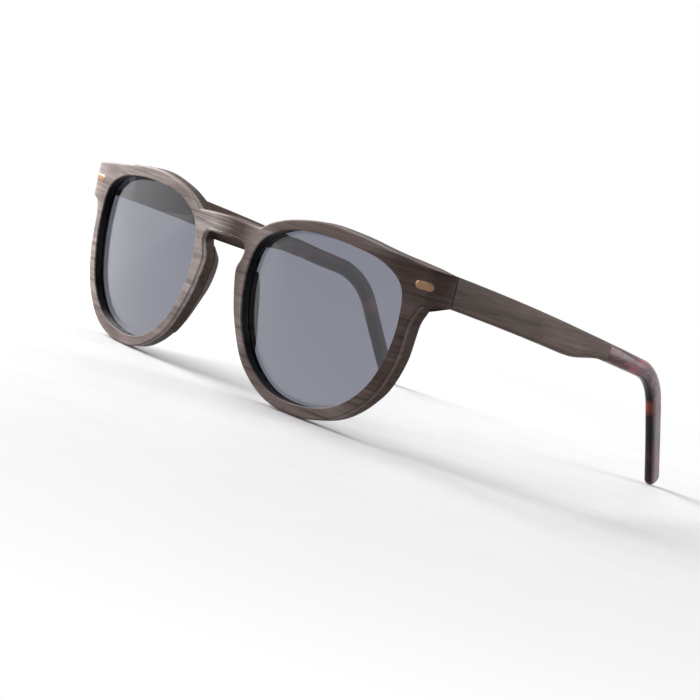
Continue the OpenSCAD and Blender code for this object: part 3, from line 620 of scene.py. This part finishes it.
def hinge_shapes():
    """Leaves with their knuckles and webs, leaf screws and hinge pin of the left side, by name. The front's
    knuckles and the temple's take turns up the pin. The temple's shapes are made in the arm's frame."""
    stack = 5 * KNUCKLE_H + 4 * KNUCKLE_GAP
    bottom = HINGE_Z - stack / 2
    top = bottom + stack
    levels = bottom + (KNUCKLE_H + KNUCKLE_GAP) * np.arange(5)
    web_soft = 0.06

    leaf_x = PIN_X + KNUCKLE_R - FRONT_LEAF_LEN
    leaf_y = SEAM_Y + LEAF_PROUD
    leaf_half = (stack + KNUCKLE_CLEAR) / 2
    front = [plate_shape((leaf_x, SEAM_Y - LEAF_T - LEAF_SINK, HINGE_Z - leaf_half),
                         (leaf_x + FRONT_LEAF_LEN, leaf_y, HINGE_Z + leaf_half))]
    for low in levels[::2]:
        front.append(turned_shape(PIN_X, PIN_Y, low, low + KNUCKLE_H, KNUCKLE_R))
        front.append(plate_shape((PIN_X - KNUCKLE_R, SEAM_Y - LEAF_SINK, low + HAIR),
                                 (PIN_X + KNUCKLE_R / 2, PIN_Y, low + KNUCKLE_H - HAIR), web_soft))

    leaf_s = -KNUCKLE_R / 2
    leaf_z = HINGE_Z - ARM_LEAF_LEN / 2 * tan(radians(ARM_DROP))
    temple = [plate_shape((ARM_SIDE - LEAF_PROUD, leaf_s, leaf_z - ARM_LEAF_H / 2),
                          (ARM_SIDE + LEAF_T, leaf_s + ARM_LEAF_LEN, leaf_z + ARM_LEAF_H / 2))]
    for low in levels[1::2]:
        temple.append(turned_shape(0, 0, low, low + KNUCKLE_H, KNUCKLE_R))
        temple.append(plate_shape((0, leaf_s, low + HAIR),
                                  (ARM_SIDE + LEAF_T / 2, KNUCKLE_R, low + KNUCKLE_H - HAIR), web_soft))

    head = slotted_head(0.85 * SCREW_D, high=0.12, deep=0.5, slot=0.28)
    screw_x, screw_s = leaf_x + 1.5 * SCREW_D, leaf_s + 0.6 * ARM_LEAF_LEN
    front_screws, temple_screws = [], []
    for apart in (-SCREW_PITCH / 2, SCREW_PITCH / 2):
        front_screws.append(turned_to(head, (1, 0, 0), (0, 0, -1), (0, 1, 0),
                                      (screw_x, leaf_y, HINGE_Z + apart)))
        temple_screws.append(turned_to(head, (0, 0.6, 0.8), (0, -0.8, 0.6), (-1, 0, 0),
                                       (ARM_SIDE - LEAF_PROUD, screw_s + apart, leaf_z)))

    pin_head = slotted_head(0.92 * KNUCKLE_R, high=0.3, deep=0.3, slot=0.36)
    pin = [turned_shape(PIN_X, PIN_Y, bottom - 0.36, top, PIN_D / 2),
           turned_to(pin_head, (0.8, 0.6, 0), (-0.6, 0.8, 0), (0, 0, 1), (PIN_X, PIN_Y, top + 0.32))]
    leaf, screws = ([(on_arm(points), faces) for points, faces in made] for made in (temple, temple_screws))
    return {"front_hinge": joined(front), "front_hinge_screws": joined(front_screws),
            "hinge_pin": joined(pin), "temple_hinge": joined(leaf), "temple_hinge_screws": joined(screws)}


def colour(red, green, blue):
    """Linear colour of a screen colour given in 0 to 255."""
    c = np.array((red, green, blue)) / 255
    return (*np.where(c <= 0.04045, c / 12.92, ((c + 0.055) / 1.055) ** 2.4), 1.0)


def node(tree, kind, inputs=None, **settings):
    """A node with its settings; an input is a socket to link from or a plain value."""
    made = tree.nodes.new(kind)
    for key, value in settings.items():
        setattr(made, key, value)
    for key, value in (inputs or {}).items():
        if isinstance(value, bpy.types.NodeSocket):
            tree.links.new(value, made.inputs[key])
        else:
            made.inputs[key].default_value = value
    return made


def ramp(tree, value, *stops):
    """Colour over a value, from (place, colour) stops."""
    made = node(tree, "ShaderNodeValToRGB", {"Fac": value})
    elements = made.color_ramp.elements
    for place, shade in stops[1:-1]:
        elements.new(place).color = shade
    elements[0].position, elements[0].color = stops[0]
    elements[-1].position, elements[-1].color = stops[-1]
    return made.outputs["Color"]


def level(tree, value, low, high, to_low=0.0, to_high=1.0):
    """A value taken from one span to another, held at the ends."""
    return node(tree, "ShaderNodeMapRange", {"Value": value, "From Min": low, "From Max": high,
                                             "To Min": to_low, "To Max": to_high}).outputs["Result"]


def blended(tree, share, first, second, kind="MIX"):
    """Two colours mixed by a share; sockets 6 and 7 and output 2 are the Mix node's colours."""
    made = node(tree, "ShaderNodeMix", {0: share, 6: first, 7: second}, data_type="RGBA", blend_type=kind)
    return made.outputs[2]


def maths(tree, operation, first, second=0.0):
    """Result of one operation on two values."""
    return node(tree, "ShaderNodeMath", {0: first, 1: second}, operation=operation).outputs[0]


def vector(tree, operation, inputs):
    """Node of one operation on vectors."""
    return node(tree, "ShaderNodeVectorMath", inputs, operation=operation)


def noise(tree, place, scale, detail=2.0, rough=0.5, twist=0.0):
    """Noise over a place stretched by three scales."""
    stretched = vector(tree, "MULTIPLY", {0: place, 1: scale}).outputs[0]
    return node(tree, "ShaderNodeTexNoise", {"Vector": stretched, "Scale": 1.0, "Detail": detail,
                                             "Roughness": rough, "Distortion": twist}).outputs["Fac"]


def new_group(name, **inputs):
    """Node group with inputs of given kinds; gives the group and its inputs."""
    group = bpy.data.node_groups.new(name, "ShaderNodeTree")
    for label, kind in inputs.items():
        group.interface.new_socket(label, in_out="INPUT", socket_type=kind)
    return group, node(group, "NodeGroupInput").outputs


def give(group, values):
    """Values given out by a group, by name."""
    for label in values:
        group.interface.new_socket(label, in_out="OUTPUT", socket_type="NodeSocketFloat")
    node(group, "NodeGroupOutput", values)


def make_long_grain():
    """Figure of straight-grained wood, from noise that is long along the first coordinate, in centimetres:
    broad bands, narrow streaks, fine fibres, short dark pores, cloudy patches, and a height for bump."""
    group, given = new_group("long_grain", Grain="NodeSocketVector")
    place = given["Grain"]
    figure = {
        "Bands": noise(group, place, (0.12, 1.4, 2.4), 4, 0.55, 0.3),
        "Streaks": noise(group, place, (0.32, 6, 9), 3, 0.6, 0.2),
        "Fibres": noise(group, place, (1.1, 20, 32), 3, 0.6),
        "Pores": level(group, noise(group, place, (1.5, 13, 21), 2, 0.5), 0.62, 0.74),
        "Patches": noise(group, place, (0.45, 0.6, 0.6), 2, 0.5),
    }
    raised = maths(group, "ADD", maths(group, "MULTIPLY", figure["Streaks"], 0.6), figure["Fibres"])
    give(group, {**figure, "Height": maths(group, "SUBTRACT", raised, figure["Pores"])})
    return group


def make_handling():
    """Traces of use: cloudy smudges and fine hairline scratches, over a place times a size."""
    group, given = new_group("handling", Place="NodeSocketVector", Size="NodeSocketFloat")
    place = vector(group, "SCALE", {0: given["Place"], "Scale": given["Size"]}).outputs[0]
    smudges = level(group, noise(group, place, (1, 1, 1), 4, 0.6, 0.8), 0.35, 0.7)
    give(group, {"Smudges": smudges, "Hairlines": noise(group, place, (1.5, 30, 30), 2, 0.6)})
    return group


LONG_GRAIN, HANDLING = make_long_grain(), make_handling()


def new_material(name):
    """Empty material and its tree."""
    made = bpy.data.materials.new(name)
    made.use_nodes = True
    made.node_tree.nodes.clear()
    return made, made.node_tree


def principled(tree, **inputs):
    """Principled shader; an input is a socket to link from or a plain value."""
    named = {key.replace("_", " "): value for key, value in inputs.items()}
    return node(tree, "ShaderNodeBsdfPrincipled", named).outputs[0]


def show(tree, surface, kind="ShaderNodeOutputMaterial"):
    """A surface shown by a material, or a background by the world."""
    node(tree, kind, {"Surface": surface})


def group_in(tree, group, **inputs):
    """Outputs of a shared group placed in a material."""
    return node(tree, "ShaderNodeGroup", inputs, node_tree=group).outputs


def attribute(tree, name, output):
    """A mesh attribute of a piece."""
    return node(tree, "ShaderNodeAttribute", attribute_name=name).outputs[output]


def parts_of(tree, place):
    """X, Y and Z of a vector."""
    return node(tree, "ShaderNodeSeparateXYZ", {"Vector": place}).outputs


def object_place(tree):
    """Object coordinates, in metres in the shared frame; in the world, the ray's direction."""
    return node(tree, "ShaderNodeTexCoord").outputs["Object"]


def relief(tree, height, strength, distance):
    """Normal of a surface with fine relief."""
    return node(tree, "ShaderNodeBump", {"Height": height, "Strength": strength,
                                         "Distance": distance}).outputs[0]


def wood_finish(name, dark, middle, light, patch, pore, tones_with_painted_light, layer):
    """Oiled wood: bands from dark to light, dark and pale streaks, darker patches, fine fibres, dark pores
    and painted highlights along the edges. The tone given at places along the board, darker being warmer,
    is partly the wood's own and partly painted light and shade; layer is the depth past which the walls and
    back are darkened as painted shade, both in centimetres."""
    made, tree = new_material(name)
    grain = attribute(tree, "grain", "Vector")
    place = parts_of(tree, grain)
    wood = group_in(tree, LONG_GRAIN, Grain=grain)
    base = ramp(tree, wood["Bands"], (0.32, dark), (0.5, middle), (0.68, light))
    # Last entry: the edge attribute lightens the wood as a painted highlight along the edges
    for figure, span, shade in (
            (wood["Patches"], (0.52, 0.7, 0, 0.6), patch), (wood["Streaks"], (0.52, 0.66, 0, 0.8), patch),
            (wood["Streaks"], (0.3, 0.46, 0.45, 0), light), (wood["Fibres"], (0.35, 0.65, 0.25, 0), dark),
            (wood["Pores"], (0, 1, 0, 0.55), pore), (attribute(tree, "edge", "Fac"), (0, 1, 0, 0.2), light)):
        base = blended(tree, level(tree, figure, *span), base, shade)
    # The tone ramp along the board holds painted light and shade as well as the wood's own tone
    start, end = tones_with_painted_light[0][0], tones_with_painted_light[-1][0]
    wander = maths(tree, "SUBTRACT", wood["Streaks"], 0.5)
    along = level(tree, maths(tree, "ADD", place["X"], wander), start, end)
    stops = [((at - start) / (end - start), (tone, tone ** 1.15, tone ** 1.2, 1)) for at, tone in tones_with_painted_light]
    face = blended(tree, 1.0, base, ramp(tree, along, *stops), "MULTIPLY")
    # Painted shade: walls, back and nose pads past the layer depth are darkened
    behind = blended(tree, 1.0, base, (0.18, 0.145, 0.13, 1), "MULTIPLY")
    shade = blended(tree, level(tree, place["Y"], layer, layer + 0.06), face, behind)
    rough = level(tree, wood["Fibres"], 0.3, 0.7, 0.58, 0.44)
    show(tree, principled(tree, Base_Color=shade, Roughness=rough, IOR=1.45, Specular_IOR_Level=0.15,
                          Normal=relief(tree, wood["Height"], 0.2, 0.0001)))
    return made


def lens_finish():
    """Smoked lens: tinted clear glass with a hard gloss coat, a little darker towards the brow, with faint
    cloudy smudges in the tint."""
    made, tree = new_material("smoked_lens")
    low, brow, smudged = (0.22, 0.228, 0.28, 1), (0.195, 0.205, 0.257, 1), (0.26, 0.26, 0.3, 1)
    place = object_place(tree)
    tint = ramp(tree, level(tree, parts_of(tree, place)["Z"], 0.0, 0.048), (0.0, low), (1.0, brow))
    used = group_in(tree, HANDLING, Place=place, Size=70.0)
    tint = blended(tree, maths(tree, "MULTIPLY", used["Smudges"], 0.12), tint, smudged)
    show(tree, principled(tree, Base_Color=tint, Transmission_Weight=1.0, IOR=1.55, Roughness=0.0,
                          Coat_Weight=0.8, Coat_Roughness=0.0, Coat_IOR=1.6))
    return made


def liner_finish():
    """Black satin liner with faint smudges."""
    made, tree = new_material("liner_black")
    used = group_in(tree, HANDLING, Place=object_place(tree), Size=160.0)
    black = ramp(tree, used["Smudges"], (0, colour(7, 7, 8)), (1, colour(14, 13, 15)))
    rough = level(tree, used["Smudges"], 0, 1, 0.3, 0.45)
    show(tree, principled(tree, Base_Color=black, Roughness=rough, IOR=1.4, Specular_IOR_Level=0.2))
    return made


def tortoise_finish():
    """Polished tortoiseshell plastic over its own length: a clouded plum layer on the outer side, turning
    from the bend on into a pale grey that is a painted reflection, over a near black body with an amber patch
    below the bend."""
    made, tree = new_material("tortoise_tip")
    grain = attribute(tree, "grain", "Vector")
    place = parts_of(tree, grain)
    clouds = noise(tree, grain, (0.9, 2.2, 2.2), 3, 0.55, 0.6)
    specks = maths(tree, "SUBTRACT", noise(tree, grain, (5, 11, 11), 3, 0.55), 0.5)
    mixed = maths(tree, "ADD", clouds, maths(tree, "MULTIPLY", specks, 0.18))
    # The second ramp, pale grey, is the painted reflection on the outer side
    plum, painted_reflection_grey, deep = (ramp(tree, mixed, *[(at, colour(*shade)) for at, *shade in stops]) for stops in (
        ((0.4, 74, 38, 47), (0.52, 110, 58, 70), (0.64, 165, 90, 104)),
        ((0.36, 106, 98, 105), (0.5, 146, 138, 144), (0.66, 154, 130, 137)),
        ((0.46, 18, 12, 16), (0.58, 36, 22, 28), (0.74, 84, 42, 38))))
    from_patch = maths(tree, "ABSOLUTE", maths(tree, "SUBTRACT", place["X"], 4.05))
    deep = blended(tree, level(tree, from_patch, 0.1, 0.32, 0.85, 0), deep, colour(165, 78, 50))
    # Painted reflection: from the bend on the outer side turns pale grey, lighter than the rest of the tip
    outer = blended(tree, level(tree, place["X"], 1.7, 3.6), plum, painted_reflection_grey)
    body = blended(tree, level(tree, place["X"], 1.4, 2.6), plum, deep)
    shade = blended(tree, level(tree, place["Y"], 0.1, 0.17), body, outer)
    used = group_in(tree, HANDLING, Place=grain, Size=1.2)
    rough = level(tree, used["Smudges"], 0, 1, 0.14, 0.24)
    show(tree, principled(tree, Base_Color=shade, Roughness=rough, IOR=1.49, Specular_IOR_Level=0.18))
    return made


def metal_finish(name, pale, deep, smooth_rough, worn_rough):
    """Brushed metal: hairlines between two tones, with rougher smudged places."""
    made, tree = new_material(name)
    used = group_in(tree, HANDLING, Place=object_place(tree), Size=400.0)
    shade = ramp(tree, used["Hairlines"], (0.35, deep), (0.65, pale))
    rough = level(tree, used["Smudges"], 0, 1, smooth_rough, worn_rough)
    show(tree, principled(tree, Base_Color=shade, Metallic=1.0, Roughness=rough,
                          Normal=relief(tree, used["Hairlines"], 0.15, 0.00005)))
    return made


# Tones at places in centimetres along the wood, partly its own and partly painted light. Front: a far half
# paled by painted light, a pale and then a dark place on the bridge, an even near half and a near end
# darkened by painted shade. Temples: dark at the hinge, paler towards the tip as painted light
FRONT_TONES_WITH_PAINTED_LIGHT = ((-7.2, 0.95), (-2.2, 0.7), (-0.6, 1.25), (0.25, 0.25), (0.55, 0.25),
               (1.2, 0.9), (2, 0.6), (4.8, 0.65), (6, 0.35), (7.2, 0.45))
TEMPLE_TONES_WITH_PAINTED_LIGHT = ((4, 0.56), (7, 0.77), (11.1, 1))
# Depth in centimetres past which the front's walls, back and nose pads are darkened as painted shade; the
# temples have none, so theirs lies beyond the wood
FRONT_SHADE_DEPTH, TEMPLE_SHADE_DEPTH = 0.1, 9.0
WOOD_FRONT = wood_finish("wood_front", colour(145, 130, 126), colour(181, 167, 163), colour(212, 200, 197),
                         colour(112, 96, 92), colour(50, 36, 31), FRONT_TONES_WITH_PAINTED_LIGHT, FRONT_SHADE_DEPTH)
WOOD_TEMPLE = wood_finish("wood_temple", colour(85, 68, 61), colour(109, 91, 82), colour(130, 112, 103),
                          colour(70, 56, 49), colour(42, 32, 27), TEMPLE_TONES_WITH_PAINTED_LIGHT, TEMPLE_SHADE_DEPTH)
SMOKED_LENS, LINER_BLACK, TORTOISE_TIP = lens_finish(), liner_finish(), tortoise_finish()
RIVET_BRASS = metal_finish("rivet_brass", colour(186, 150, 118), colour(152, 118, 90), 0.4, 0.55)
HINGE_STEEL = metal_finish("hinge_steel", colour(128, 126, 124), colour(96, 94, 93), 0.3, 0.44)

front, front_figure, front_edge_highlight = front_shape()
add_piece("front_frame_looks", front, ["front_frame"], "front", WOOD_FRONT,
          front_figure, front_edge_highlight)
on_both_sides("rim_liner", liner_shape(), LINER_BLACK)
on_both_sides("lens", lens_shape(), SMOKED_LENS)
pad, pad_grain = nose_pad_shape()
on_both_sides("nose_pad", pad, WOOD_FRONT, grain=pad_grain)
on_both_sides("rivet", rivet_shape(), RIVET_BRASS)
arm, arm_grain, arm_edge_highlight = arm_shape()
on_both_sides("temple_arm", arm, WOOD_TEMPLE, True, arm_grain, arm_edge_highlight)
tip, tip_place = tip_shape()
on_both_sides("temple_tip", tip, TORTOISE_TIP, True, tip_place)
for name, shape in hinge_shapes().items():
    on_both_sides(name, shape, HINGE_STEEL, name.startswith("temple"))
for side in ("left", "right"):
    core = frame["nodes"][f"temple_core_{side}"]
    core.data.materials.clear()
    core.data.materials.append(HINGE_STEEL)


# Level direction from the camera past the glasses to the white backdrop
TO_BACKDROP = (-0.69, 0.724, 0.0)
# Half side of the floor, and the distances between which it runs out into white, in metres
FLOOR_HALF, FLOOR_FROM, FLOOR_TO = 3.0, 0.1, 0.32
# Strength of the fill, and gloss on the camera's side: floor and horizon, and high up
FILL, GLOSS_FLOOR, GLOSS_HORIZON, GLOSS_HIGH = 0.12, 0.6, 0.55, 0.1
WHITE = (1, 1, 1, 1)
# Camera of the photograph: place in metres, then turn, downward tip and roll in degrees
CAMERA_PLACE = (0.38811, -0.41814, 0.06224)
CAMERA_TURN, CAMERA_TIP, CAMERA_ROLL = 43.6657, 4.8167, 16.2572
CAMERA_LENS, CAMERA_SENSOR, CAMERA_NEAR = 102.343, 36.0, 0.01


def seen_white(tree, place, near, far, dim):
    """Light of the white background in a ray: white to the eye and through glass, and in gloss from dim on
    the camera's side of the studio to white on the backdrop's, from near to far along the direction to it."""
    path = node(tree, "ShaderNodeLightPath").outputs
    along = vector(tree, "DOT_PRODUCT", {0: place, 1: TO_BACKDROP}).outputs["Value"]
    direct = maths(tree, "MAXIMUM", path["Is Camera Ray"], path["Is Transmission Ray"])
    gloss = maths(tree, "MULTIPLY", path["Is Glossy Ray"], level(tree, along, near, far, dim, 1))
    return path, direct, maths(tree, "MAXIMUM", direct, gloss)


def make_floor():
    """Pale floor that keeps the shadow near the glasses and runs out into the white background. It throws
    back less light than it shows."""
    corners = [(x * FLOOR_HALF, y * FLOOR_HALF, 0) for x, y in ((-1, -1), (1, -1), (1, 1), (-1, 1))]
    mesh = bpy.data.meshes.new("floor")
    mesh.from_pydata(corners, [], [(0, 1, 2, 3)])
    made, tree = new_material("pale_floor")
    place = object_place(tree)
    path, direct, light = seen_white(tree, place, -0.1, 0.05, GLOSS_FLOOR)
    cloud = noise(tree, place, (60, 60, 60), 3, 0.6)
    pale = ramp(tree, cloud, (0.3, (0.8, 0.79, 0.8, 1)), (0.7, (0.84, 0.83, 0.84, 1)))
    shade = blended(tree, path["Is Diffuse Ray"], pale, (0.3, 0.29, 0.28, 1))
    away = vector(tree, "LENGTH", {0: place}).outputs["Value"]
    run_out = maths(tree, "MULTIPLY", level(tree, away, FLOOR_FROM, FLOOR_TO), direct)
    share = maths(tree, "MAXIMUM", run_out, path["Is Glossy Ray"])
    lit = principled(tree, Base_Color=shade, Roughness=0.6)
    white = node(tree, "ShaderNodeEmission", {"Color": WHITE, "Strength": light}).outputs[0]
    show(tree, node(tree, "ShaderNodeMixShader", {0: share, 1: lit, 2: white}).outputs[0])
    mesh.materials.append(made)
    floor = bpy.data.objects.new("floor", mesh)
    bpy.context.scene.collection.objects.link(floor)


def make_world():
    """White background for the eye and through glass; in gloss white behind the glasses and, before them,
    nearly as dim as the floor at the horizon and darker above. A soft dim fill for all other light."""
    world = bpy.data.worlds.new("studio")
    world.use_nodes = True
    tree = world.node_tree
    tree.nodes.clear()
    fill, white = (node(tree, "ShaderNodeBackground", {"Color": WHITE, "Strength": strength}).outputs[0]
                   for strength in (FILL, 1.0))
    place = object_place(tree)
    dim = level(tree, parts_of(tree, place)["Z"], 0.0, 0.5, GLOSS_HORIZON, GLOSS_HIGH)
    share = seen_white(tree, place, 0.0, 0.6, dim)[2]
    mixed = node(tree, "ShaderNodeMixShader", {0: share, 1: fill, 2: white}).outputs[0]
    show(tree, mixed, "ShaderNodeOutputWorld")
    bpy.context.scene.world = world


def soft_light(name, place, aim, size, power):
    """Square soft light at a place in metres, facing a point."""
    lamp = bpy.data.lights.new(name, "AREA")
    lamp.size, lamp.energy = size, power
    made = bpy.data.objects.new(name, lamp)
    facing = (Vector(place) - Vector(aim)).to_track_quat("Z", "Y")
    made.matrix_world = Matrix.Translation(place) @ facing.to_matrix().to_4x4()
    bpy.context.scene.collection.objects.link(made)


def make_camera():
    """Camera at the photograph's place, turned about the upright, tipped down and rolled."""
    lens = bpy.data.cameras.new("camera")
    lens.lens, lens.sensor_width, lens.clip_start = CAMERA_LENS, CAMERA_SENSOR, CAMERA_NEAR
    made = bpy.data.objects.new("camera", lens)
    placed = Matrix.Translation(CAMERA_PLACE)
    for angle, axis in ((CAMERA_TURN, "Z"), (90 - CAMERA_TIP, "X"), (CAMERA_ROLL, "Z")):
        placed = placed @ Matrix.Rotation(radians(angle), 4, axis)
    made.matrix_world = placed
    bpy.context.scene.collection.objects.link(made)
    bpy.context.scene.camera = made


make_floor()
make_world()
soft_light("key_light", place=(-0.52, -0.2, 0.31), aim=(0, -0.03, 0.03), size=0.45, power=7.4)
soft_light("back_light", place=(0.36, 0.42, 0.2), aim=(0.05, 0.02, 0.03), size=0.4, power=2.2)
soft_light("top_light", place=(-0.1, 0.2, 0.8), aim=(0, 0, 0), size=0.7, power=1.6)
make_camera()
bpy.context.scene.view_settings.view_transform = "Standard"
